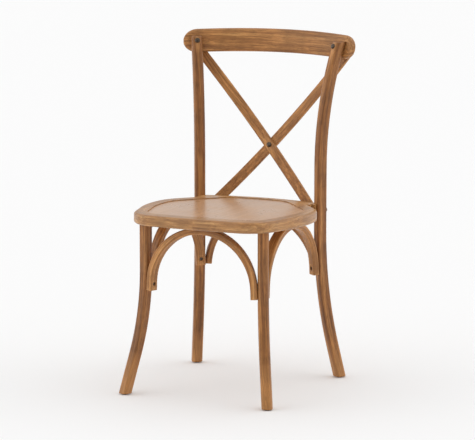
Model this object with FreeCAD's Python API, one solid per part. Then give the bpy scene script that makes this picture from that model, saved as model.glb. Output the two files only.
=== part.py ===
"""Bentwood cross back chair, built as separate wooden pieces and fasteners.

Millimetres, +Z up, the seat's front faces -Y, the floor is Z = 0 and the origin
is the bottom centre of the chair's bounding box. Pieces are shaped for the +X
side and mirrored for the other. Left is -X and right is +X, as seen from the front.
"""
import FreeCAD
import Part
import math
import os

os.makedirs("parts", exist_ok=True)

Vec = FreeCAD.Vector
ORIGIN = Vec(0, 0, 0)
UP = Vec(0, 0, 1)

# Seat, seen from above as a rounded outline, half of which is listed here
SEAT_TOP = 457.5
SEAT_THICKNESS = 28.0
SEAT_CORNERS = [(178.0, -212.0), (227.0, -40.0), (216.0, 52.0), (129.0, 151.0)]
SEAT_CORNER_RADII = [85.0, 280.0, 108.0, 30.0]
SEAT_FRONT_MIDDLE = -222.0
SEAT_FRONT_RADIUS = 2000.0
SEAT_REAR_CORNERS = [(160.0, 118.0), (150.0, 166.0)]
SEAT_EDGE_RADIUS = 7.0
RIM_WIDTH = 34.0
PANEL_REAR_CORNER = (79.0, 153.0)
PANEL_REAR_MIDDLE = 162.0
PANEL_REAR_RADII = [80.0, 400.0]
PANEL_RECESS = 2.2
PANEL_THICKNESS = 10.0
PANEL_LEDGE = 44.0
PANEL_CLEARANCE = 0.4

# Rear seat rail, an arc between the posts that carries the lower brace ends
REAR_RAIL_BACK_Y = 195.0
REAR_RAIL_RADIUS = 538.0
REAR_RAIL_THICKNESS = 27.0
REAR_RAIL_TOP_DROP = 2.5
REAR_RAIL_HALF_LENGTH = 166.0
REAR_RAIL_EDGE_RADIUS = 3.0

# Front legs
FRONT_LEG_X = 161.6
FRONT_LEG_Y = -157.0
FRONT_LEG_SIZE = 26.5
FRONT_LEG_CORNER = 8.0
FRONT_LEG_TURN = 18.0
FRONT_BEND_DIRECTION = 35.0
FRONT_BEND_START = 310.0
FRONT_BEND_RADIUS = 730.0
FRONT_BEND_ANGLE = 16.7
TENON_DIAMETER = 18.0
TENON_LENGTH = 13.0

# Rear posts
POST_X = 171.0
POST_Y = 161.0
POST_SIZE = 27.5
POST_CORNER = 8.5
POST_TURN = 34.0
POST_BEND_DIRECTION = 35.0
POST_TOP = 864.0
POST_LOWER_BEND_START = 387.0
POST_LOWER_BEND_RADIUS = 1200.0
POST_LOWER_BEND_ANGLE = 14.5
POST_UPPER_BEND_START = 548.0
POST_UPPER_BEND_RADIUS = 960.0
POST_END_ROUNDING = 2.5

# Foot glides
GLIDE_DIAMETER = 14.0
GLIDE_HEIGHT = 3.0
GLIDE_PIN_DIAMETER = 5.0
GLIDE_PIN_LENGTH = 14.0

# Crest rail, bent in plan, arched a little and let over the backs of the posts
CREST_HEIGHT = 60.0
CREST_THICKNESS = 23.0
CREST_MIDDLE_Y = 268.0
CREST_MIDDLE_Z = 854.5
CREST_ARCH = 6.0
CREST_LEAN = 9.0
CREST_HALF_LENGTH = 240.0
CREST_NOSE_LENGTH = 32.0
CREST_BEND_RADIUS = 485.0
CREST_CORNER = 8.0
CREST_FRONT_BULGE = 3.0
CREST_BULGE_RADIUS = 60.0
CREST_STATIONS = 8
NOSE_TURNS = [25.0, 48.0, 66.0, 80.0]
HOUSING_SIDE_GAP = 5.0
HOUSING_REACH = 53.0
NOSE_THICKNESS_KEPT = 0.5
NOSE_CORNER_KEPT = 0.333
CORNER_SHARE_LIMIT = 0.6
HOUSING_MIDDLE_Z = 842.0
CREST_BOLT_Z = 849.0
CREST_NUT_COVER = 12.0

# Cross braces
BRACE_WIDTH = 26.0
BRACE_THICKNESS = 9.0
BRACE_CORNER = 2.5
BRACE_CROSSING_Z = 588.0
BRACE_CROSSING_Y = 228.0
BRACE_LOWER_X = 134.0
BRACE_LOWER_Z = 440.0
BRACE_UPPER_X = 211.0
BRACE_UPPER_Z = 830.0
BRACE_OVERRUN = 13.0
BRACE_STATIONS = 7
BRACE_CROSSING_GAP = 0.6

# Arches under the seat
ARCH_THICKNESS = 17.0
ARCH_WIDTH = 25.0
ARCH_CORNER = 4.0
FRONT_ARCH_END_Z = 262.0
REAR_ARCH_END_Z = 275.0
ARCH_STATIONS = 6
ARCH_SHORTEST_RUN = 4.0

# Blocks in the corners between the legs and the seat
BLOCK_REACH = 17.0
BLOCK_HEIGHT = 19.0
BLOCK_THICKNESS = 10.0

# Fasteners
SCREW_HEAD_DIAMETER = 8.0
SCREW_HEAD_HEIGHT = 3.0
SCREW_SHANK_DIAMETER = 4.0
ARCH_SCREW_LENGTH = 22.0
ARCH_SCREW_INSET = 16.0
CROWN_SCREW_LENGTH = 22.0
BRACE_LOWER_SCREW_LENGTH = 24.0
BRACE_UPPER_SCREW_LENGTH = 18.0
COUNTERBORE_DIAMETER = 9.5
COUNTERBORE_DEPTH = 6.0
BOLT_HEAD_DIAMETER = 13.0
BOLT_HEAD_HEIGHT = 4.5
BOLT_DOME_HEIGHT = 3.6
BOLT_SHANK_DIAMETER = 6.0
SEAT_BOLT_LENGTH = 74.0
SEAT_BOLT_Z = 439.0
DOWEL_DIAMETER = 8.0
DOWEL_LENGTH = 26.0
DOWEL_X = 60.0
NUT_DIAMETER = 11.0
NUT_HEIGHT = 5.0
NUT_RECESS_DIAMETER = 12.0
NUT_RECESS_DEPTH = 20.0
HOLE_CLEARANCE = 0.15
HOLE_LEAD = 3.0

# Gap left where a shaped piece meets another
WOOD_GAP = 0.25

SEAT_BOTTOM = SEAT_TOP - SEAT_THICKNESS
LEDGE_TOP = SEAT_TOP - PANEL_RECESS - PANEL_THICKNESS
RAIL_TOP = SEAT_TOP - REAR_RAIL_TOP_DROP
RAIL_CENTRE = Vec(0, REAR_RAIL_BACK_Y - REAR_RAIL_RADIUS, 0)
RAIL_FRONT_RADIUS = REAR_RAIL_RADIUS - REAR_RAIL_THICKNESS
CREST_CENTRE = Vec(0, CREST_MIDDLE_Y - CREST_BEND_RADIUS, CREST_MIDDLE_Z)
FAR = 600.0
TINY = 0.001
LEVEL_LIMIT = 1.0


def heading(degrees):
    """Horizontal unit vector, turned from -Y towards +X."""
    angle = math.radians(degrees)
    return Vec(math.sin(angle), -math.cos(angle), 0)


def mirrored(shape):
    """The same shape on the other side of the chair."""
    return shape.mirror(ORIGIN, Vec(1, 0, 0))


def rounded_polygon(points, radii):
    """Closed wire of straight sides joined by tangent arcs at the corners."""
    edges = []
    arcs = []
    count = len(points)
    for index in range(count):
        corner = points[index]
        back = (points[index - 1] - corner).normalize()
        ahead = (points[(index + 1) % count] - corner).normalize()
        half = back.getAngle(ahead) / 2
        radius = radii[index]
        reach = radius / math.tan(half)
        inward = (back + ahead).normalize()
        middle = corner + inward * (radius / math.sin(half) - radius)
        arcs.append((corner + back * reach, middle, corner + ahead * reach))
    for index in range(count):
        edges.append(Part.Arc(*arcs[index]).toShape())
        start = arcs[index][2]
        end = arcs[(index + 1) % count][0]
        edges.append(Part.makeLine(start, end))
    return Part.Wire(edges)


def section(centre, thick_axis, wide_axis, thickness, width, corner):
    """Rounded rectangle at a place in space, thick along one axis, wide along the other."""
    across = thick_axis * (thickness / 2)
    along = wide_axis * (width / 2)
    points = [
        centre - across - along,
        centre + across - along,
        centre + across + along,
        centre - across + along,
    ]
    return rounded_polygon(points, [corner] * 4)


def prism(points, low, high):
    """Upright prism over a flat outline, between two heights."""
    base = [Vec(point.x, point.y, low) for point in points]
    return Part.Face(Part.makePolygon(base + base[:1])).extrude(UP * (high - low))


def cylinder(diameter, start, direction, length):
    return Part.makeCylinder(diameter / 2, length, start, direction)


def disc(radius, low, high):
    """Upright disc round the axis that the rear rail is bent about."""
    return Part.makeCylinder(radius, high - low, RAIL_CENTRE + UP * low, UP)


def lower_bend(z, start, radius, angle):
    """Offset and lean of a leg at a height, where it bends outward below its straight part."""
    drop = start - z
    if drop <= 0:
        return 0.0, 0.0
    full = math.radians(angle)
    if drop < radius * math.sin(full):
        lean = math.asin(drop / radius)
        return radius * (1 - math.cos(lean)), lean
    straight = drop - radius * math.sin(full)
    return radius * (1 - math.cos(full)) + straight * math.tan(full), full


def upper_bend(z):
    """Offset and lean of a rear post at a height above its straight part."""
    rise = z - POST_UPPER_BEND_START
    if rise <= 0:
        return 0.0, 0.0
    lean = math.asin(rise / POST_UPPER_BEND_RADIUS)
    return POST_UPPER_BEND_RADIUS * (1 - math.cos(lean)), lean


def front_leg_at(z):
    """Centre and lean of the +X front leg at a height."""
    offset, lean = lower_bend(z, FRONT_BEND_START, FRONT_BEND_RADIUS, FRONT_BEND_ANGLE)
    return Vec(FRONT_LEG_X, FRONT_LEG_Y, z) + heading(FRONT_BEND_DIRECTION) * offset, lean


def post_at(z):
    """Centre and lean of the +X rear post at a height."""
    outward = heading(180 - POST_BEND_DIRECTION)
    if z > POST_UPPER_BEND_START:
        offset, lean = upper_bend(z)
    else:
        offset, lean = lower_bend(
            z, POST_LOWER_BEND_START, POST_LOWER_BEND_RADIUS, POST_LOWER_BEND_ANGLE
        )
    return Vec(POST_X, POST_Y, z) + outward * offset, lean


def bent_member(heights, place, turn, size, corner):
    """Rounded square bar along a leg's centre line, through heights from the top down."""
    edges = []
    for index in range(len(heights) - 1):
        top = heights[index]
        low = heights[index + 1]
        ends = [place(top)[0], place(low)[0]]
        if abs(place(top)[1] - place(low)[1]) < TINY:
            edges.append(Part.makeLine(*ends))
        else:
            middle = place((top + low) / 2)[0]
            edges.append(Part.Arc(ends[0], middle, ends[1]).toShape())
    start = place(heights[0])[0]
    tangent = edges[0].tangentAt(edges[0].FirstParameter)
    forward = heading(turn + 90).cross(tangent).normalize()
    across = tangent.cross(forward).normalize()
    profile = section(start, forward, across, size, size, corner)
    return Part.Wire(edges).makePipeShell([profile], True, False)


def front_leg_bar(extra):
    """The +X front leg's bent bar, grown all round by a distance."""
    bend_end = FRONT_BEND_START - FRONT_BEND_RADIUS * math.sin(math.radians(FRONT_BEND_ANGLE))
    heights = [SEAT_BOTTOM, FRONT_BEND_START, bend_end, -FRONT_LEG_SIZE]
    size = FRONT_LEG_SIZE + 2 * extra
    return bent_member(heights, front_leg_at, FRONT_LEG_TURN, size, FRONT_LEG_CORNER + extra)


def post_bar(extra):
    """The +X rear post's bent bar, grown all round by a distance."""
    drop = POST_LOWER_BEND_RADIUS * math.sin(math.radians(POST_LOWER_BEND_ANGLE))
    heights = [
        POST_TOP + POST_SIZE,
        POST_UPPER_BEND_START,
        POST_LOWER_BEND_START,
        POST_LOWER_BEND_START - drop,
        -POST_SIZE,
    ]
    size = POST_SIZE + 2 * extra
    return bent_member(heights, post_at, -POST_TURN, size, POST_CORNER + extra)


def level_ends(bar, low, high):
    """A bar cut level at two heights."""
    block = Part.makeBox(2 * FAR, 2 * FAR, high - low, Vec(-FAR, -FAR, low))
    return bar.common(block)


def inset(points, radii, distance):
    """Outline corners moved inward by a distance, with their radii to match."""
    count = len(points)
    moved = []
    for index in range(count):
        corner = points[index]
        back = (points[index - 1] - corner).normalize()
        ahead = (points[(index + 1) % count] - corner).normalize()
        half = back.getAngle(ahead) / 2
        moved.append(corner + (back + ahead).normalize() * (distance / math.sin(half)))
    return moved, [radius - distance for radius in radii]


def both_sides(half):
    """Closed outline from the +X half, listed from the front, and its mirror image."""
    right = [Vec(x, y, 0) for x, y in half]
    left = [Vec(-point.x, point.y, 0) for point in reversed(right)]
    return right + left


def outline_prism(points, radii, low, high):
    """Upright prism over a rounded outline."""
    face = Part.Face(rounded_polygon(points, radii))
    return face.translated(UP * low).extrude(UP * (high - low))


def seat_outline():
    """Corners and radii of the seat, from the middle of its bowed front."""
    corners = [Vec(0, SEAT_FRONT_MIDDLE, 0)] + both_sides(SEAT_CORNERS)
    return corners, [SEAT_FRONT_RADIUS] + SEAT_CORNER_RADII + SEAT_CORNER_RADII[::-1]


def panel_outline(shrink):
    """Rounded outline of the seat opening, drawn in by a distance."""
    front, radii = inset(*seat_outline(), RIM_WIDTH)
    half = [(point.x, point.y) for point in front[1:4]] + [PANEL_REAR_CORNER]
    corner_radius, middle_radius = PANEL_REAR_RADII
    half_radii = radii[1:4] + [corner_radius]
    right = [Vec(x, y, 0) for x, y in half]
    left = [Vec(-point.x, point.y, 0) for point in reversed(right)]
    points = front[:1] + right + [Vec(0, PANEL_REAR_MIDDLE, 0)] + left
    all_radii = radii[:1] + half_radii + [middle_radius] + half_radii[::-1]
    moved, shrunk = inset(points, all_radii, shrink)
    return moved, [max(radius, SEAT_EDGE_RADIUS) for radius in shrunk]


def make_seat_frame():
    """Rounded seat blank with its rear tongue, opened for the panel over a ledge."""
    blank = outline_prism(*seat_outline(), SEAT_BOTTOM, SEAT_TOP)
    rim = [edge for edge in blank.Edges if edge.BoundBox.ZLength < LEVEL_LIMIT]
    blank = blank.makeFillet(SEAT_EDGE_RADIUS, rim)
    tongue = prism(both_sides(SEAT_REAR_CORNERS), SEAT_BOTTOM, SEAT_TOP)
    blank = blank.fuse(tongue).common(disc(RAIL_FRONT_RADIUS - WOOD_GAP, SEAT_BOTTOM, SEAT_TOP))
    opening = outline_prism(*panel_outline(0), LEDGE_TOP, SEAT_TOP)
    well = outline_prism(*panel_outline(PANEL_LEDGE), SEAT_BOTTOM, SEAT_TOP)
    return blank.cut(opening).cut(well).removeSplitter()


def make_seat_panel():
    low = LEDGE_TOP
    return outline_prism(*panel_outline(PANEL_CLEARANCE), low, low + PANEL_THICKNESS)


def make_rear_seat_rail():
    """Arc band let round the inner front corner of each post."""
    band = disc(REAR_RAIL_RADIUS, SEAT_BOTTOM, RAIL_TOP)
    rounded = [edge for edge in band.Edges if edge.BoundBox.ZLength < LEVEL_LIMIT]
    band = band.makeFillet(REAR_RAIL_EDGE_RADIUS, rounded)
    band = band.cut(disc(RAIL_FRONT_RADIUS, SEAT_BOTTOM, RAIL_TOP))
    size = 2 * REAR_RAIL_HALF_LENGTH
    window = Part.makeBox(size, FAR, SEAT_THICKNESS, Vec(-size / 2, 0, SEAT_BOTTOM))
    rail = band.common(window)
    grown = post_bar(WOOD_GAP)
    return rail.cut(grown).cut(mirrored(grown))


def make_front_leg():
    """The +X front leg, with its round tenon and the hole for its glide pin."""
    leg = level_ends(front_leg_bar(0), GLIDE_HEIGHT, SEAT_BOTTOM)
    base = front_leg_at(SEAT_BOTTOM)[0]
    tenon = cylinder(TENON_DIAMETER, base, UP, TENON_LENGTH)
    return leg.fuse(tenon).removeSplitter()


def make_back_post():
    """The +X rear post, cut level at both ends with a softened top."""
    post = level_ends(post_bar(0), GLIDE_HEIGHT, POST_TOP)
    top = [edge for edge in post.Edges if edge.BoundBox.ZMin > POST_TOP - POST_END_ROUNDING]
    return post.makeFillet(POST_END_ROUNDING, top)


def glide(place):
    """Round foot glide and its pin, under a leg."""
    foot = place(GLIDE_HEIGHT)[0]
    sole = Vec(foot.x, foot.y, 0)
    disc_part = cylinder(GLIDE_DIAMETER, sole, UP, GLIDE_HEIGHT)
    pin = cylinder(GLIDE_PIN_DIAMETER, sole, UP, GLIDE_HEIGHT + GLIDE_PIN_LENGTH)
    return disc_part.fuse(pin).removeSplitter()


def leg_face(place, turn, size, z):
    """Point on a leg's face whose normal has a given heading, and that normal."""
    normal = heading(turn)
    return place(z)[0] + normal * (size / 2), normal


def flipped(point):
    return Vec(-point.x, point.y, point.z)


def crest_section(angle, shrink):
    """Section of the crest rail at an angle round its bend, its size drawn in by a factor."""
    outward = heading(180 - math.degrees(angle))
    point = CREST_CENTRE + outward * CREST_BEND_RADIUS
    point.z -= CREST_ARCH * (point.x / CREST_HALF_LENGTH) ** 2
    lean = math.radians(CREST_LEAN)
    thick = outward * math.cos(lean) - UP * math.sin(lean)
    wide = UP * math.cos(lean) + outward * math.sin(lean)
    high = CREST_HEIGHT / 2 * shrink
    deep = CREST_THICKNESS / 2 * (NOSE_THICKNESS_KEPT + (1 - NOSE_THICKNESS_KEPT) * shrink)
    bulge = CREST_FRONT_BULGE * shrink
    corners = [
        point - thick * (deep - bulge) - wide * high,
        point + thick * deep - wide * high,
        point + thick * deep + wide * high,
        point - thick * (deep - bulge) + wide * high,
        point - thick * deep + wide * (high / 3),
        point - thick * deep - wide * (high / 3),
    ]
    corner = CREST_CORNER * (NOSE_CORNER_KEPT + (1 - NOSE_CORNER_KEPT) * shrink)
    corner = min(corner, high * CORNER_SHARE_LIMIT)
    blend = CREST_BULGE_RADIUS * shrink
    return rounded_polygon(corners, [corner, corner, corner, corner, blend, blend])


def make_crest_rail():
    """Bent rail with rounded noses, housed over both posts."""
    body_end = math.asin((CREST_HALF_LENGTH - CREST_NOSE_LENGTH) / CREST_BEND_RADIUS)
    tip = math.asin(CREST_HALF_LENGTH / CREST_BEND_RADIUS)
    steps = range(CREST_STATIONS + 1)
    angles = [body_end * (2 * step / CREST_STATIONS - 1) for step in steps]
    rail = Part.makeLoft([crest_section(angle, 1.0) for angle in angles], True)
    nose_wires = [crest_section(body_end, 1.0)]
    for turn in NOSE_TURNS:
        share = math.sin(math.radians(turn))
        nose_wires.append(crest_section(body_end + (tip - body_end) * share, math.cos(math.radians(turn))))
    nose = Part.makeLoft(nose_wires, True)
    rail = rail.fuse(nose).fuse(mirrored(nose)).removeSplitter()
    housing = post_housing()
    return rail.cut(housing).cut(mirrored(housing))


def post_housing():
    """Space that the top of the +X post takes in the crest rail."""
    centre, lean = post_at(HOUSING_MIDDLE_Z)
    outward = heading(180 - POST_TURN)
    side = heading(90 - POST_TURN)
    along = outward * math.sin(lean) + UP * math.cos(lean)
    back = outward * math.cos(lean) - UP * math.sin(lean)
    half = POST_SIZE / 2 + WOOD_GAP
    rise = (POST_TOP + WOOD_GAP - HOUSING_MIDDLE_Z) / math.cos(lean)
    corner = centre - along * HOUSING_REACH - side * half - back * POST_SIZE
    width = 2 * half + HOUSING_SIDE_GAP
    base = Part.makePolygon([
        corner,
        corner + side * width,
        corner + side * width + back * (POST_SIZE + half),
        corner + back * (POST_SIZE + half),
        corner,
    ])
    tall = Part.Face(base).extrude(along * (HOUSING_REACH + rise + POST_SIZE))
    return level_ends(tall, SEAT_TOP, POST_TOP + WOOD_GAP)


def brace_frame(side, level):
    """Stations of a brace from the seat up, and at the crossing: point, thick and wide axes."""
    low_normal = math.asin(BRACE_LOWER_X / REAR_RAIL_RADIUS)
    high_normal = math.asin(BRACE_UPPER_X / CREST_BEND_RADIUS)
    low_y = RAIL_CENTRE.y + (REAR_RAIL_RADIUS) * math.cos(low_normal)
    low_y += (BRACE_THICKNESS / 2 + WOOD_GAP) / math.cos(low_normal)
    high_y = CREST_CENTRE.y + (CREST_BEND_RADIUS + CREST_THICKNESS / 2) * math.cos(high_normal)
    middle_z = CREST_MIDDLE_Z - CREST_ARCH
    lean_shift = (BRACE_UPPER_Z - middle_z) * math.tan(math.radians(CREST_LEAN))
    high_y += (BRACE_THICKNESS / 2 + WOOD_GAP) / math.cos(high_normal) + lean_shift
    low = Vec(side * BRACE_LOWER_X, low_y, BRACE_LOWER_Z)
    middle = Vec(0, BRACE_CROSSING_Y + level, BRACE_CROSSING_Z)
    high = Vec(-side * BRACE_UPPER_X, high_y, BRACE_UPPER_Z)
    curve = Part.Arc(low, middle, high)
    edge = curve.toShape()
    first = edge.FirstParameter
    last = edge.LastParameter
    margin = BRACE_OVERRUN / edge.Length * (last - first)
    span = last - first + 2 * margin
    crossing = edge.Curve.parameter(middle)
    values = [first - margin + span * step / BRACE_STATIONS for step in range(BRACE_STATIONS + 1)]
    stations = []
    for value in values + [crossing]:
        if value < crossing:
            turn = side * low_normal * (crossing - value) / (crossing - first)
        else:
            turn = -side * high_normal * (value - crossing) / (last - crossing)
        point = edge.Curve.value(value)
        tangent = edge.Curve.tangent(value)[0].normalize()
        facing = Vec(math.sin(turn), math.cos(turn), 0)
        thick = (facing * tangent.z - UP * facing.dot(tangent)).normalize()
        stations.append((point, thick, tangent.cross(thick)))
    return stations, low, high


def make_brace(side, level):
    """Bent and slightly twisted strip; side is where its foot stands."""
    stations, low, high = brace_frame(side, level)
    wires = [
        section(point, thick, wide, BRACE_THICKNESS, BRACE_WIDTH, BRACE_CORNER)
        for point, thick, wide in stations[:-1]
    ]
    return Part.makeLoft(wires, True), low, high, stations[-1][1]


def dome_bolt(start, direction, length):
    """Bolt with a domed head standing out behind the start, its shank ahead of it."""
    head = cylinder(BOLT_HEAD_DIAMETER, start, direction * -1, BOLT_HEAD_HEIGHT)
    rim = [edge for edge in head.Edges if edge.isClosed() and
           (edge.CenterOfMass - start).Length > BOLT_HEAD_HEIGHT / 2]
    head = head.makeFillet(BOLT_DOME_HEIGHT, rim)
    return head.fuse(cylinder(BOLT_SHANK_DIAMETER, start, direction, length)).removeSplitter()


def screw(start, direction, length):
    """Screw whose head bears at the start, its shank ahead of it."""
    head = cylinder(SCREW_HEAD_DIAMETER, start, direction * -1, SCREW_HEAD_HEIGHT)
    return head.fuse(cylinder(SCREW_SHANK_DIAMETER, start, direction, length)).removeSplitter()


def hole(diameter, start, direction, length):
    """Cutter a clearance larger than what passes through it, from a little outside the mouth."""
    mouth = start - direction * HOLE_LEAD
    return cylinder(diameter + 2 * HOLE_CLEARANCE, mouth, direction, length + HOLE_LEAD + HOLE_CLEARANCE)


def screw_hole(start, direction, length):
    """Cutter for a screw's shank and the counterbore over its head."""
    bore = cylinder(COUNTERBORE_DIAMETER, start, direction * -1, COUNTERBORE_DEPTH * 2)
    return bore.fuse(hole(SCREW_SHANK_DIAMETER, start, direction, length))


def nut(start, direction):
    """Round nut on a bolt's shank."""
    body = cylinder(NUT_DIAMETER, start, direction, NUT_HEIGHT)
    return body.cut(hole(BOLT_SHANK_DIAMETER, start, direction, NUT_HEIGHT * 2))


def make_block(place, turn, size):
    """Triangular block in the corner between a leg's inner face and the seat."""
    point, normal = leg_face(place, turn, size, SEAT_BOTTOM)
    across = UP.cross(normal) * (BLOCK_THICKNESS / 2)
    corner = point - across
    triangle = Part.makePolygon([
        corner,
        corner + normal * BLOCK_REACH,
        corner - UP * BLOCK_HEIGHT,
        corner,
    ])
    return Part.Face(triangle).extrude(across * 2)


def arch_half(end, normal, slope, crown):
    """Centre line stations of half an arch: point, tangent and share of the way up."""
    level = Vec(crown.x - end.x, crown.y - end.y, 0)
    reach = level.Length
    level.normalize()
    rise = crown.z - end.z
    radius = reach * math.cos(slope) - rise * math.sin(slope)
    radius = radius / (1 - math.sin(slope))
    length = rise * math.cos(slope) - reach * (1 - math.sin(slope))
    length = max(length / (1 - math.sin(slope)), 0)
    stations = [(end, slope, 0.0)]
    first = end + (level * math.sin(slope) + UP * math.cos(slope)) * length
    centre = crown - UP * radius
    for index in range(ARCH_STATIONS + 1):
        share = index / ARCH_STATIONS
        angle = slope + (math.pi / 2 - slope) * share
        point = centre - level * (radius * math.cos(angle)) + UP * (radius * math.sin(angle))
        if index > 0 or (first - end).Length > ARCH_SHORTEST_RUN:
            stations.append((point, angle, share))
    sections = []
    plane = UP.cross(level)
    wide_end = UP.cross(normal)
    if wide_end.dot(plane) < 0:
        wide_end = wide_end * -1
    twist = math.atan2(plane.cross(wide_end).dot(UP), plane.dot(wide_end))
    for point, angle, share in stations:
        tangent = level * math.sin(angle) + UP * math.cos(angle)
        turn = twist * (1 + math.cos(math.pi * share)) / 2
        across = plane.cross(tangent)
        wide = plane * math.cos(turn) - across * math.sin(turn)
        sections.append((point, wide.cross(tangent), wide))
    return sections


def arch(start, finish):
    """Bentwood hoop between two leg faces, up to the underside of the seat."""
    ends = []
    for point, normal, _ in (start, finish):
        ends.append(point + normal * (ARCH_THICKNESS / 2 + WOOD_GAP))
    middle = (ends[0] + ends[1]) / 2
    crown = Vec(middle.x, middle.y, SEAT_BOTTOM - WOOD_GAP - ARCH_THICKNESS / 2)
    rising = arch_half(ends[0], start[1], start[2], crown)
    falling = arch_half(ends[1], finish[1], finish[2], crown)
    wires = []
    for point, thick, wide in rising:
        wires.append(section(point, thick, wide, ARCH_THICKNESS, ARCH_WIDTH, ARCH_CORNER))
    for point, thick, wide in falling[-2::-1]:
        wires.append(section(point, thick, wide * -1, ARCH_THICKNESS, ARCH_WIDTH, ARCH_CORNER))
    return Part.makeLoft(wires, True), crown


def end_slope(place, direction, side, z):
    """Slope of a leg at a height, seen across the plane of an arch."""
    lean = place(z)[1]
    return math.atan(math.tan(lean) * abs(heading(direction).dot(side)))


def arch_ends():
    """Leg, face heading, bar size, height and piece names of each arch end on the +X side."""
    inner = FRONT_LEG_TURN - 90
    rear = FRONT_LEG_TURN + 180
    front = -POST_TURN
    beside = -POST_TURN - 90
    leg = (front_leg_at, FRONT_LEG_SIZE, FRONT_ARCH_END_Z, "front_leg")
    post = (post_at, POST_SIZE, REAR_ARCH_END_Z, "back_post")
    front_ends = [(leg, inner, "front_arch"), (leg, rear, "arch")]
    return front_ends + [(post, front, "arch"), (post, beside, "back_arch")]


def arch_end(leg, turn, side):
    """Face point, normal and slope that an arch starts from."""
    place, size, z, _ = leg
    point, normal = leg_face(place, turn, size, z)
    bend = FRONT_BEND_DIRECTION if place is front_leg_at else POST_BEND_DIRECTION
    return point, normal, end_slope(place, bend, side, z)


def make_arches():
    """Front, back and +X side arches and their crown points, coped to the legs."""
    along_x = Vec(1, 0, 0)
    along_y = Vec(0, 1, 0)
    ends = arch_ends()
    front = arch_end(ends[0][0], ends[0][1], along_x)
    back = arch_end(ends[3][0], ends[3][1], along_x)
    side = [arch_end(ends[1][0], ends[1][1], along_y), arch_end(ends[2][0], ends[2][1], along_y)]
    pairs = {
        "front_arch": (front, (flipped(front[0]), flipped(front[1]), front[2])),
        "arch": (side[0], side[1]),
        "back_arch": (back, (flipped(back[0]), flipped(back[1]), back[2])),
    }
    leg = front_leg_bar(WOOD_GAP)
    post = post_bar(WOOD_GAP)
    arches = {}
    crowns = {}
    for name, (start, finish) in pairs.items():
        shape, crown = arch(start, finish)
        for cutter in (leg, post, mirrored(leg), mirrored(post)):
            shape = shape.cut(cutter)
        arches[name] = largest(shape)
        crowns[name] = crown
    return arches, crowns


def largest(shape):
    """The biggest solid of a shape."""
    return max(shape.Solids, key=lambda solid: solid.Volume)


def bore(pieces, names, cutter):
    """Cut a hole through the named pieces, and through both sides of a middle piece."""
    for name in names:
        pieces[name] = pieces[name].cut(cutter)
        if name in MIDDLE_PIECES:
            pieces[name] = pieces[name].cut(mirrored(cutter))


def pair(shape):
    """A shape and its mirror image as separate solids."""
    return [shape, mirrored(shape)]


def fit_crest_bolts(pieces):
    """Bolts from the front of the posts through the crest rail, with nuts let in behind."""
    centre, lean = post_at(CREST_BOLT_Z)
    axis = heading(180 - POST_TURN) * math.cos(lean) - UP * math.sin(lean)
    start = centre - axis * (POST_SIZE / 2)
    seat = start + axis * (POST_SIZE + CREST_NUT_COVER)
    length = POST_SIZE + CREST_NUT_COVER + NUT_HEIGHT
    recess = cylinder(NUT_RECESS_DIAMETER, seat, axis, NUT_RECESS_DEPTH)
    bore(pieces, ["back_post", "crest_rail"], hole(BOLT_SHANK_DIAMETER, start, axis, length))
    bore(pieces, ["crest_rail"], recess)
    pieces["crest_bolts"] = pair(dome_bolt(start, axis, length))
    pieces["crest_nuts"] = pair(nut(seat, axis))


def fit_cross_bolt(pieces, axis):
    """Bolt and nut where the braces cross, square to their faces."""
    through = 2 * BRACE_THICKNESS + BRACE_CROSSING_GAP + 2 * WOOD_GAP
    start = Vec(0, BRACE_CROSSING_Y, BRACE_CROSSING_Z) - axis * (through / 2)
    length = through + NUT_HEIGHT
    shank = hole(BOLT_SHANK_DIAMETER, start, axis, length)
    bore(pieces, ["front_brace", "rear_brace"], shank)
    pieces["cross_bolt"] = [dome_bolt(start, axis, length)]
    pieces["cross_nut"] = [nut(start + axis * through, axis)]


def fit_seat_bolts(pieces):
    """Bolts through the posts and the rear seat rail into the seat frame."""
    axis = heading(-POST_TURN)
    start = post_at(SEAT_BOLT_Z)[0] - axis * (POST_SIZE / 2)
    cutter = hole(BOLT_SHANK_DIAMETER, start, axis, SEAT_BOLT_LENGTH)
    bore(pieces, ["back_post", "rear_seat_rail", "seat_frame"], cutter)
    pieces["seat_bolts"] = pair(dome_bolt(start, axis, SEAT_BOLT_LENGTH))


def fit_arch_screws(pieces, crowns):
    """Counterbored screws at the ends and the crown of each arch."""
    end_screws = []
    for leg, turn, name in arch_ends():
        place, size, z, joined = leg
        point, normal = leg_face(place, turn, size, z + ARCH_SCREW_INSET)
        start = point + normal * (WOOD_GAP + ARCH_THICKNESS - COUNTERBORE_DEPTH)
        bore(pieces, [name, joined], screw_hole(start, normal * -1, ARCH_SCREW_LENGTH))
        end_screws += pair(screw(start, normal * -1, ARCH_SCREW_LENGTH))
    crown_screws = []
    for name, crown in crowns.items():
        start = crown - UP * (ARCH_THICKNESS / 2 - COUNTERBORE_DEPTH)
        above = "rear_seat_rail" if name == "back_arch" else "seat_frame"
        bore(pieces, [name, above], screw_hole(start, UP, CROWN_SCREW_LENGTH))
        fitted = screw(start, UP, CROWN_SCREW_LENGTH)
        crown_screws += pair(fitted) if name == "arch" else [fitted]
    pieces["arch_end_screws"] = end_screws
    pieces["arch_crown_screws"] = crown_screws


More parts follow.
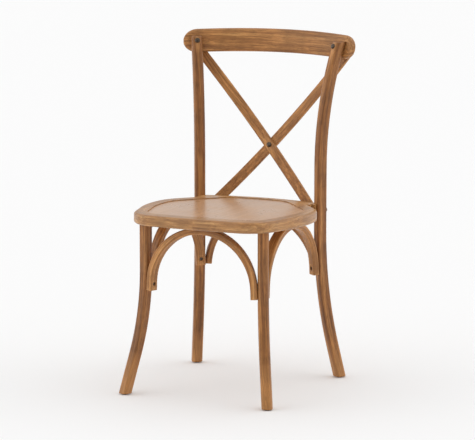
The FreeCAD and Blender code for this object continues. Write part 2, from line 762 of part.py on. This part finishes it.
def fit_brace_screws(pieces, feet):
    """Screws through the brace ends into the rear seat rail and the crest rail."""
    lower = []
    upper = []
    low_turn = math.degrees(math.asin(BRACE_LOWER_X / REAR_RAIL_RADIUS))
    high_turn = math.degrees(math.asin(BRACE_UPPER_X / CREST_BEND_RADIUS))
    sink = BRACE_THICKNESS / 2 - SCREW_HEAD_HEIGHT
    for name, side, low, high in feet:
        fittings = [
            (low, heading(180 - side * low_turn), "rear_seat_rail", BRACE_LOWER_SCREW_LENGTH, lower),
            (high, heading(180 + side * high_turn), "crest_rail", BRACE_UPPER_SCREW_LENGTH, upper),
        ]
        for point, normal, behind, length, group in fittings:
            start = point + normal * sink
            cutter = screw_hole(start, normal * -1, length)
            pieces[name] = pieces[name].cut(cutter)
            pieces[behind] = pieces[behind].cut(cutter)
            group.append(screw(start, normal * -1, length))
    pieces["brace_lower_screws"] = lower
    pieces["brace_upper_screws"] = upper


def fit_rail_dowels(pieces):
    """Dowels between the seat frame and the rear seat rail."""
    turn = 180 - math.degrees(math.asin(DOWEL_X / RAIL_FRONT_RADIUS))
    axis = heading(turn)
    middle_z = (SEAT_BOTTOM + LEDGE_TOP) / 2
    start = RAIL_CENTRE + UP * middle_z + axis * (RAIL_FRONT_RADIUS - DOWEL_LENGTH / 2)
    cutter = hole(DOWEL_DIAMETER, start, axis, DOWEL_LENGTH)
    bore(pieces, ["seat_frame", "rear_seat_rail"], cutter)
    pieces["rail_dowels"] = pair(cylinder(DOWEL_DIAMETER, start, axis, DOWEL_LENGTH))


def fit_glides(pieces):
    """Glides under the legs, each pin in its own hole."""
    glides = []
    for name, place in (("front_leg", front_leg_at), ("back_post", post_at)):
        foot = place(GLIDE_HEIGHT)[0]
        bore(pieces, [name], hole(GLIDE_PIN_DIAMETER, foot, UP, GLIDE_PIN_LENGTH))
        glides += pair(glide(place))
    pieces["foot_glides"] = glides


MIDDLE_PIECES = [
    "seat_frame",
    "seat_panel",
    "rear_seat_rail",
    "crest_rail",
    "front_arch",
    "back_arch",
]
SIDE_PIECES = ["front_leg", "back_post", "arch", "front_block", "rear_block"]


def build():
    """All pieces by node name, still in the frame they are laid out in."""
    level = (BRACE_THICKNESS + BRACE_CROSSING_GAP) / 2
    front_brace, front_low, front_high, crossing_axis = make_brace(1, -level)
    rear_brace, rear_low, rear_high, _ = make_brace(-1, level)
    arches, crowns = make_arches()
    pieces = {
        "seat_frame": make_seat_frame(),
        "seat_panel": make_seat_panel(),
        "rear_seat_rail": make_rear_seat_rail(),
        "crest_rail": make_crest_rail(),
        "front_leg": make_front_leg(),
        "back_post": make_back_post(),
        "front_block": make_block(front_leg_at, FRONT_LEG_TURN + 180, FRONT_LEG_SIZE),
        "rear_block": make_block(post_at, -POST_TURN, POST_SIZE),
        "front_brace": front_brace,
        "rear_brace": rear_brace,
    }
    pieces.update(arches)
    tenon = hole(TENON_DIAMETER, front_leg_at(SEAT_BOTTOM)[0], UP, TENON_LENGTH)
    bore(pieces, ["seat_frame"], tenon)
    fit_crest_bolts(pieces)
    fit_cross_bolt(pieces, crossing_axis)
    fit_seat_bolts(pieces)
    fit_arch_screws(pieces, crowns)
    feet = [("front_brace", 1, front_low, front_high), ("rear_brace", -1, rear_low, rear_high)]
    fit_brace_screws(pieces, feet)
    fit_rail_dowels(pieces)
    fit_glides(pieces)
    return pieces


def export(pieces):
    """Write each node, moved so that the origin is the bottom centre of the whole."""
    nodes = {}
    for name, piece in pieces.items():
        if name in SIDE_PIECES:
            nodes["right_" + name] = largest(piece)
            nodes["left_" + name] = mirrored(largest(piece))
        elif isinstance(piece, list):
            nodes[name] = Part.makeCompound(piece)
        else:
            nodes[name] = largest(piece)
    box = Part.makeCompound(list(nodes.values())).optimalBoundingBox()
    shift = Vec(-(box.XMin + box.XMax) / 2, -(box.YMin + box.YMax) / 2, 0)
    for name, shape in nodes.items():
        shape.translated(shift).exportStep("parts/" + name + ".step")


export(build())
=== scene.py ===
import bpy
import math
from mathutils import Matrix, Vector

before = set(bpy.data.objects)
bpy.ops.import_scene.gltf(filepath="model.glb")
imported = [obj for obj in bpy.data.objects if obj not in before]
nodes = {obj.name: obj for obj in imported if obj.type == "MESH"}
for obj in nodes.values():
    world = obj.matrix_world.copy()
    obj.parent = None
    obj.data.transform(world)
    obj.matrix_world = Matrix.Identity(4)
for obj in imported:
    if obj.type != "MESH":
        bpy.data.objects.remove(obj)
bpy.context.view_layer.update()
scene = bpy.context.scene

# Metres. Grain is laid out with Y = 0 midway between the feet, SHIFT_Y behind the frame's own Y.
SHIFT_Y = -0.0309

# Bends that the grain follows in the front legs and the rear posts
BEND_DIRECTION = 35
LEG_X = 0.1616
LEG_Y = -0.157
LEG_TURN = 18
LEG_BEND_START = 0.310
LEG_BEND_RADIUS = 0.730
POST_X = 0.171
POST_Y = 0.161
POST_TURN = -34
POST_LOWER_START = 0.387
POST_LOWER_RADIUS = 1.2
POST_UPPER_START = 0.548
POST_UPPER_RADIUS = 0.96

# Bends in plan, as radius and middle Y, and the lean of the cross braces in degrees
CREST_BEND = (0.485, 0.268)
REAR_RAIL_BEND = (0.538, 0.195)
BRACE_LEAN = 42

# Arches, as axis, middle, height of the bend's centre and radius
FRONT_ARCH = ("x", 0.0, 0.281, 0.141)
BACK_ARCH = ("x", 0.0, 0.275, 0.146)
SIDE_ARCH = ("y", 0.003, 0.282, 0.141)
ARCH_CENTRE_MARGIN = -0.002

# Ring of grain round the seat's rim: middle Y, half width, half depth and squareness
RIM_MIDDLE_Y = -0.01
RIM_HALF_WIDTH = 0.222
RIM_HALF_DEPTH = 0.198
RIM_SQUARENESS = 5.0
RIM_RING_SIZE = 0.2
RIM_RUN = 0.26

# How far apart the pieces are cut from one board, across, up and along
BOARD_STEPS = (0.137, 0.071, 0.311)

# Grain layers, as frequency across and along
DRIFT = (9.0, 3.2)
DRIFT_SIZE = 0.030
BANDS = (150.0, 4.0)
LINES = (620.0, 11.0)
PORES = (1500.0, 60.0)
PATCH_SCALE = 14.0

# Finish
GLOSS = 0.46
COAT = 0.10
COAT_ROUGHNESS = 0.22
WOOD_SPECULAR = 0.32
GRAIN_DEPTH = 0.0006
GRAIN_BUMP = 0.35
METAL_LEVEL = 0.85
METAL_DEPTH = 0.0003
METAL_BUMP = 0.2

# Stain tones: dark grain, middle and light
FRAME_TONES = ((0.320, 0.133, 0.040, 1), (0.560, 0.257, 0.080, 1), (0.780, 0.410, 0.150, 1))
LEG_TONES = ((0.220, 0.083, 0.024, 1), (0.440, 0.184, 0.052, 1), (0.690, 0.335, 0.115, 1))
RIM_TONES = ((0.340, 0.150, 0.048, 1), (0.540, 0.270, 0.092, 1), (0.740, 0.420, 0.165, 1))
PANEL_TONES = ((0.470, 0.245, 0.118, 1), (0.560, 0.315, 0.160, 1), (0.620, 0.370, 0.200, 1))
METAL_TONES = ((0.055, 0.043, 0.034, 1), (0.16, 0.125, 0.095, 1))
GLIDE_TONES = ((0.014, 0.013, 0.012, 1), (0.05, 0.046, 0.042, 1))

# Floor and studio light: two sides, above, behind and an even base
FLOOR_SIZE = 80.0
FLOOR_COLOUR = (0.92, 0.92, 0.92, 1)
SIDE_LIGHT = (0.45, 0.85, 0.0, 1.03)
TOP_LIGHT = (0.35, 0.95, 0.0, 0.74)
BACK_LIGHT = (0.3, 0.9, 0.0, 0.29)
BASE_LIGHT = 0.35

# Camera, with its lens and middle in pixels of the image
IMAGE_WIDTH = 475
IMAGE_HEIGHT = 440
AZIMUTH = 26
ELEVATION = 8.9
DISTANCE = 6.5
AIM_HEIGHT = 0.45
LENS_PIXELS = 2590.0
MIDDLE_PIXELS = (231.9, 209.9)
SENSOR_WIDTH = 36.0
CLIP_END = 200.0


class Graph:
    """Small helper that adds and links shader nodes in one tree."""

    def __init__(self, tree):
        self.tree = tree
        tree.nodes.clear()

    def node(self, kind, **values):
        made = self.tree.nodes.new(kind)
        for name, value in values.items():
            setattr(made, name, value)
        return made

    def link(self, source, target):
        if isinstance(source, bpy.types.NodeSocket):
            self.tree.links.new(source, target)
        else:
            target.default_value = source

    def math(self, operation, a, b=0.0):
        made = self.node("ShaderNodeMath", operation=operation)
        self.link(a, made.inputs[0])
        self.link(b, made.inputs[1])
        return made.outputs[0]

    def add(self, a, b):
        return self.math("ADD", a, b)

    def take(self, a, b):
        return self.math("SUBTRACT", a, b)

    def times(self, a, b):
        return self.math("MULTIPLY", a, b)

    def square(self, value):
        return self.times(value, value)

    def length(self, a, b):
        return self.math("SQRT", self.add(self.square(a), self.square(b)))

    def combine(self, x, y, z):
        made = self.node("ShaderNodeCombineXYZ")
        for value, socket in zip((x, y, z), made.inputs):
            self.link(value, socket)
        return made.outputs[0]

    def noise(self, vector, scale, detail=3.0, rough=0.5, distortion=0.0):
        made = self.node("ShaderNodeTexNoise")
        self.link(vector, made.inputs["Vector"])
        made.inputs["Scale"].default_value = scale
        made.inputs["Detail"].default_value = detail
        made.inputs["Roughness"].default_value = rough
        made.inputs["Distortion"].default_value = distortion
        return made.outputs["Fac"]

    def span(self, value, low, high, to_low=0.0, to_high=1.0):
        made = self.node("ShaderNodeMapRange", clamp=True, interpolation_type="SMOOTHSTEP")
        self.link(value, made.inputs["Value"])
        made.inputs["From Min"].default_value = low
        made.inputs["From Max"].default_value = high
        made.inputs["To Min"].default_value = to_low
        made.inputs["To Max"].default_value = to_high
        return made.outputs["Result"]

    def mix(self, factor, a, b, blend="MIX"):
        made = self.node("ShaderNodeMix", data_type="RGBA", blend_type=blend)
        self.link(factor, made.inputs["Factor"])
        for value, name in ((a, "A"), (b, "B")):
            socket = [s for s in made.inputs if s.name == name and s.type == "RGBA"][0]
            self.link(value, socket)
        return [s for s in made.outputs if s.type == "RGBA"][0]

    def darken(self, colour, level):
        return self.mix(1.0, colour, self.combine(level, level, level), "MULTIPLY")

    def bump(self, height, strength, distance, shader):
        made = self.node("ShaderNodeBump")
        made.inputs["Strength"].default_value = strength
        made.inputs["Distance"].default_value = distance
        self.link(height, made.inputs["Height"])
        self.link(made.outputs["Normal"], shader.inputs["Normal"])

    def finish(self, surface, kind="ShaderNodeOutputMaterial"):
        self.link(surface, self.node(kind).inputs["Surface"])


def new_material(name):
    material = bpy.data.materials.new(name)
    material.use_nodes = True
    return material, Graph(material.node_tree)


def turned(graph, x, y, degrees):
    """x and y seen in axes turned about +Z."""
    c = math.cos(math.radians(degrees))
    s = math.sin(math.radians(degrees))
    u = graph.add(graph.times(x, c), graph.times(y, s))
    v = graph.take(graph.times(y, c), graph.times(x, s))
    return u, v


def position(graph):
    coordinates = graph.node("ShaderNodeTexCoord")
    split = graph.node("ShaderNodeSeparateXYZ")
    graph.link(coordinates.outputs["Object"], split.inputs[0])
    return split.outputs[0], graph.take(split.outputs[1], SHIFT_Y), split.outputs[2]


def bend_offset(graph, past, radius):
    """Sideways reach of a bend at a distance past its start."""
    past = graph.math("MAXIMUM", past, 0.0)
    return graph.math("DIVIDE", graph.square(past), 2 * radius)


def along_leg(side):
    """Grain that follows a front leg down its outward bend."""
    def build(graph):
        x, y, z = position(graph)
        offset = bend_offset(graph, graph.take(LEG_BEND_START, z), LEG_BEND_RADIUS)
        shift = math.radians(BEND_DIRECTION)
        u = graph.take(x, graph.times(offset, side * math.sin(shift)))
        v = graph.add(y, graph.times(offset, math.cos(shift)))
        u, v = turned(graph, graph.take(u, side * LEG_X), graph.take(v, LEG_Y), side * LEG_TURN)
        return u, v, z
    return build


def along_post(side):
    """Grain that follows a rear post through both of its bends."""
    def build(graph):
        x, y, z = position(graph)
        low = bend_offset(graph, graph.take(POST_LOWER_START, z), POST_LOWER_RADIUS)
        high = bend_offset(graph, graph.take(z, POST_UPPER_START), POST_UPPER_RADIUS)
        offset = graph.add(low, high)
        shift = math.radians(BEND_DIRECTION)
        u = graph.take(x, graph.times(offset, side * math.sin(shift)))
        v = graph.take(y, graph.times(offset, math.cos(shift)))
        u, v = turned(graph, graph.take(u, side * POST_X), graph.take(v, POST_Y), side * POST_TURN)
        return u, v, z
    return build


def along_bend(radius, middle_y):
    """Grain round a bend in plan whose centre is a radius in front of its middle."""
    def build(graph):
        x, y, z = position(graph)
        depth = graph.take(y, middle_y - radius)
        angle = graph.math("ARCTAN2", x, depth)
        reach = graph.length(x, depth)
        return graph.take(reach, radius), z, graph.times(angle, radius)
    return build


def along_brace(lean):
    """Grain up a cross brace that leans by an angle from upright."""
    def build(graph):
        x, y, z = position(graph)
        u, w = turned(graph, x, z, lean)
        return u, y, w
    return build


def along_arch(axis, middle, level, radius):
    """Grain round a hoop under the seat, in the plane of x or y."""
    def build(graph):
        x, y, z = position(graph)
        reach, across = (x, y) if axis == "x" else (y, x)
        reach = graph.take(reach, middle)
        up = graph.math("MAXIMUM", graph.take(z, level), ARCH_CENTRE_MARGIN)
        angle = graph.math("ARCTAN2", reach, up)
        spread = graph.length(reach, up)
        low = graph.math("MINIMUM", graph.take(z, level), 0.0)
        return spread, across, graph.take(graph.times(angle, radius), low)
    return build


def along_rim(graph):
    """Grain round the rim of the seat: with the front rail in front, and round its sides."""
    x, y, z = position(graph)
    depth = graph.take(y, RIM_MIDDLE_Y)
    wide = graph.math("DIVIDE", graph.math("ABSOLUTE", x), RIM_HALF_WIDTH)
    deep = graph.math("DIVIDE", graph.math("ABSOLUTE", depth), RIM_HALF_DEPTH)
    wide = graph.math("POWER", wide, RIM_SQUARENESS)
    deep = graph.math("POWER", deep, RIM_SQUARENESS)
    ring = graph.math("POWER", graph.add(wide, deep), 1 / RIM_SQUARENESS)
    angle = graph.math("ARCTAN2", x, depth)
    return graph.times(ring, RIM_RING_SIZE), z, graph.times(angle, RIM_RUN)


def along_y(graph):
    x, y, z = position(graph)
    return x, z, y


def stretched(graph, u, v, w, frequency):
    """Grain place scaled by a layer's frequency across and along the grain."""
    across, along = frequency
    return graph.combine(graph.times(u, across), graph.times(v, across), graph.times(w, along))


def wood(name, grain, seed, tones, gloss, coat, contrast):
    """Stained, lacquered hardwood whose grain runs along the third value of a grain function."""
    dark, middle, light = tones
    material, graph = new_material(name)
    u, v, w = [graph.add(value, seed * step) for value, step in zip(grain(graph), BOARD_STEPS)]
    wander = graph.noise(stretched(graph, u, v, w, DRIFT), 1.0, 2.0)
    bent = graph.add(u, graph.times(graph.take(wander, 0.5), DRIFT_SIZE))
    band = graph.noise(stretched(graph, bent, v, w, BANDS), 1.0, 4.0, 0.6, 0.35)
    line = graph.noise(stretched(graph, bent, v, w, LINES), 1.0, 3.0, 0.65)
    pore = graph.noise(stretched(graph, bent, v, w, PORES), 1.0, 1.0, 0.5)
    patch = graph.noise(graph.combine(u, v, w), PATCH_SCALE, 3.0, 0.6)

    colour = graph.mix(graph.span(band, 0.30, 0.70), dark, middle)
    colour = graph.mix(graph.span(band, 0.52, 0.86, 0.0, 0.9), colour, light)
    stain = graph.span(patch, 0.25, 0.75, 1.0 - 0.20 * contrast, 1.0 + 0.14 * contrast)
    streak = graph.span(line, 0.30, 0.60, 1.0 - 0.42 * contrast, 1.06)
    speck = graph.span(pore, 0.30, 0.44, 1.0 - 0.42 * contrast, 1.0)
    for level in (stain, streak, speck):
        colour = graph.darken(colour, level)
    geometry = graph.node("ShaderNodeNewGeometry")
    # Painted highlight: sharp edges are mixed towards the light tone, as if they caught the light.
    wear_and_highlight = graph.span(geometry.outputs["Pointiness"], 0.52, 0.60, 0.0, 0.35)
    colour = graph.mix(wear_and_highlight, colour, light)

    shader = graph.node("ShaderNodeBsdfPrincipled")
    graph.link(colour, shader.inputs["Base Color"])
    patch_gloss = graph.span(patch, 0.2, 0.8, gloss - 0.05, gloss + 0.07)
    pore_gloss = graph.span(pore, 0.3, 0.5, 0.12, 0.0)
    graph.link(graph.add(patch_gloss, pore_gloss), shader.inputs["Roughness"])
    shader.inputs["Coat Weight"].default_value = coat
    shader.inputs["Coat Roughness"].default_value = COAT_ROUGHNESS
    shader.inputs["Specular IOR Level"].default_value = WOOD_SPECULAR
    height = graph.add(graph.times(line, 0.6), graph.times(pore, 0.5))
    height = graph.add(height, graph.times(band, 0.6))
    graph.bump(height, GRAIN_BUMP, GRAIN_DEPTH, shader)
    graph.finish(shader.outputs["BSDF"])
    return material


def metal(name, seed):
    """Dark bronzed steel with fine turning marks and worn high spots."""
    material, graph = new_material(name)
    place = graph.combine(*position(graph))
    grain = graph.noise(place, 900.0 + seed, 3.0)
    wear_and_highlight = graph.noise(place, 160.0, 3.0)
    shader = graph.node("ShaderNodeBsdfPrincipled")
    graph.link(graph.mix(graph.span(wear_and_highlight, 0.35, 0.7), *METAL_TONES), shader.inputs["Base Color"])
    shader.inputs["Metallic"].default_value = METAL_LEVEL
    graph.link(graph.span(grain, 0.3, 0.7, 0.30, 0.5), shader.inputs["Roughness"])
    graph.bump(grain, METAL_BUMP, METAL_DEPTH, shader)
    graph.finish(shader.outputs["BSDF"])
    return material


def plastic(name):
    """Black moulded glide with a scuffed surface."""
    material, graph = new_material(name)
    scuff = graph.noise(graph.combine(*position(graph)), 420.0, 4.0)
    shader = graph.node("ShaderNodeBsdfPrincipled")
    graph.link(graph.mix(graph.span(scuff, 0.3, 0.8), *GLIDE_TONES), shader.inputs["Base Color"])
    graph.link(graph.span(scuff, 0.3, 0.8, 0.5, 0.75), shader.inputs["Roughness"])
    graph.finish(shader.outputs["BSDF"])
    return material


# Grain function, place on the board and tones of each wooden piece
WOOD = {
    "left_front_leg": (along_leg(-1), 1, LEG_TONES),
    "right_front_leg": (along_leg(1), 2, LEG_TONES),
    "left_back_post": (along_post(-1), 3, LEG_TONES),
    "right_back_post": (along_post(1), 4, LEG_TONES),
    "crest_rail": (along_bend(*CREST_BEND), 5, FRAME_TONES),
    "rear_seat_rail": (along_bend(*REAR_RAIL_BEND), 6, RIM_TONES),
    "front_brace": (along_brace(BRACE_LEAN), 7, FRAME_TONES),
    "rear_brace": (along_brace(-BRACE_LEAN), 8, FRAME_TONES),
    "front_arch": (along_arch(*FRONT_ARCH), 9, FRAME_TONES),
    "back_arch": (along_arch(*BACK_ARCH), 10, FRAME_TONES),
    "left_arch": (along_arch(*SIDE_ARCH), 11, FRAME_TONES),
    "right_arch": (along_arch(*SIDE_ARCH), 12, FRAME_TONES),
    "seat_frame": (along_rim, 13, RIM_TONES),
    "seat_panel": (along_y, 14, PANEL_TONES),
    "left_front_block": (along_y, 15, LEG_TONES),
    "right_front_block": (along_y, 16, LEG_TONES),
    "left_rear_block": (along_y, 17, LEG_TONES),
    "right_rear_block": (along_y, 18, LEG_TONES),
    "rail_dowels": (along_y, 19, FRAME_TONES),
}

# Gloss, coat and contrast of the pieces that differ from the rest
FINISH = {
    "seat_panel": (0.30, 0.55, 0.35),
    "seat_frame": (0.36, 0.4, 0.8),
}


def dress(name, material):
    piece = nodes[name]
    piece.data.materials.clear()
    piece.data.materials.append(material)


def dress_all():
    for name, (grain, seed, tones) in WOOD.items():
        dress(name, wood(name, grain, seed, tones, *FINISH.get(name, (GLOSS, COAT, 1.0))))
    for index, name in enumerate(sorted(nodes)):
        if name == "foot_glides":
            dress(name, plastic(name))
        elif name not in WOOD:
            dress(name, metal(name, index))


def make_floor():
    """Pale studio floor."""
    bpy.ops.mesh.primitive_plane_add(size=FLOOR_SIZE, location=(0, 0, 0))
    floor = bpy.context.object
    floor.name = "studio_floor"
    material, graph = new_material("studio_floor")
    paper = graph.node("ShaderNodeBsdfDiffuse")
    paper.inputs["Color"].default_value = FLOOR_COLOUR
    graph.finish(paper.outputs[0])
    floor.data.materials.append(material)


def make_light():
    """Soft light from both sides, above and behind, with a darker camera side."""
    world = bpy.data.worlds.new("studio")
    scene.world = world
    world.use_nodes = True
    graph = Graph(world.node_tree)
    coordinates = graph.node("ShaderNodeTexCoord")
    split = graph.node("ShaderNodeSeparateXYZ")
    graph.link(coordinates.outputs["Generated"], split.inputs[0])
    across, away = turned(graph, split.outputs[0], split.outputs[1], AZIMUTH)
    sides = graph.span(graph.math("ABSOLUTE", across), *SIDE_LIGHT)
    above = graph.span(split.outputs[2], *TOP_LIGHT)
    behind = graph.span(away, *BACK_LIGHT)
    level = graph.add(graph.add(sides, above), graph.add(behind, BASE_LIGHT))
    background = graph.node("ShaderNodeBackground")
    background.inputs["Color"].default_value = (1, 1, 1, 1)
    graph.link(level, background.inputs["Strength"])
    graph.finish(background.outputs[0], "ShaderNodeOutputWorld")


def make_camera():
    """Camera at the reference angle."""
    azimuth = math.radians(AZIMUTH)
    elevation = math.radians(ELEVATION)
    back = Vector((
        math.sin(azimuth) * math.cos(elevation),
        -math.cos(azimuth) * math.cos(elevation),
        math.sin(elevation),
    ))
    data = bpy.data.cameras.new("camera")
    camera = bpy.data.objects.new("camera", data)
    scene.collection.objects.link(camera)
    camera.location = Vector((0, SHIFT_Y, AIM_HEIGHT)) + back * DISTANCE
    camera.rotation_euler = back.to_track_quat("Z", "Y").to_euler()
    data.sensor_width = SENSOR_WIDTH
    data.lens = SENSOR_WIDTH * LENS_PIXELS / IMAGE_WIDTH
    data.shift_x = (IMAGE_WIDTH / 2 - MIDDLE_PIXELS[0]) / IMAGE_WIDTH
    data.shift_y = -(IMAGE_HEIGHT / 2 - MIDDLE_PIXELS[1]) / IMAGE_WIDTH
    data.clip_end = CLIP_END
    scene.camera = camera


dress_all()
make_floor()
make_light()
make_camera()
scene.view_settings.view_transform = "Standard"
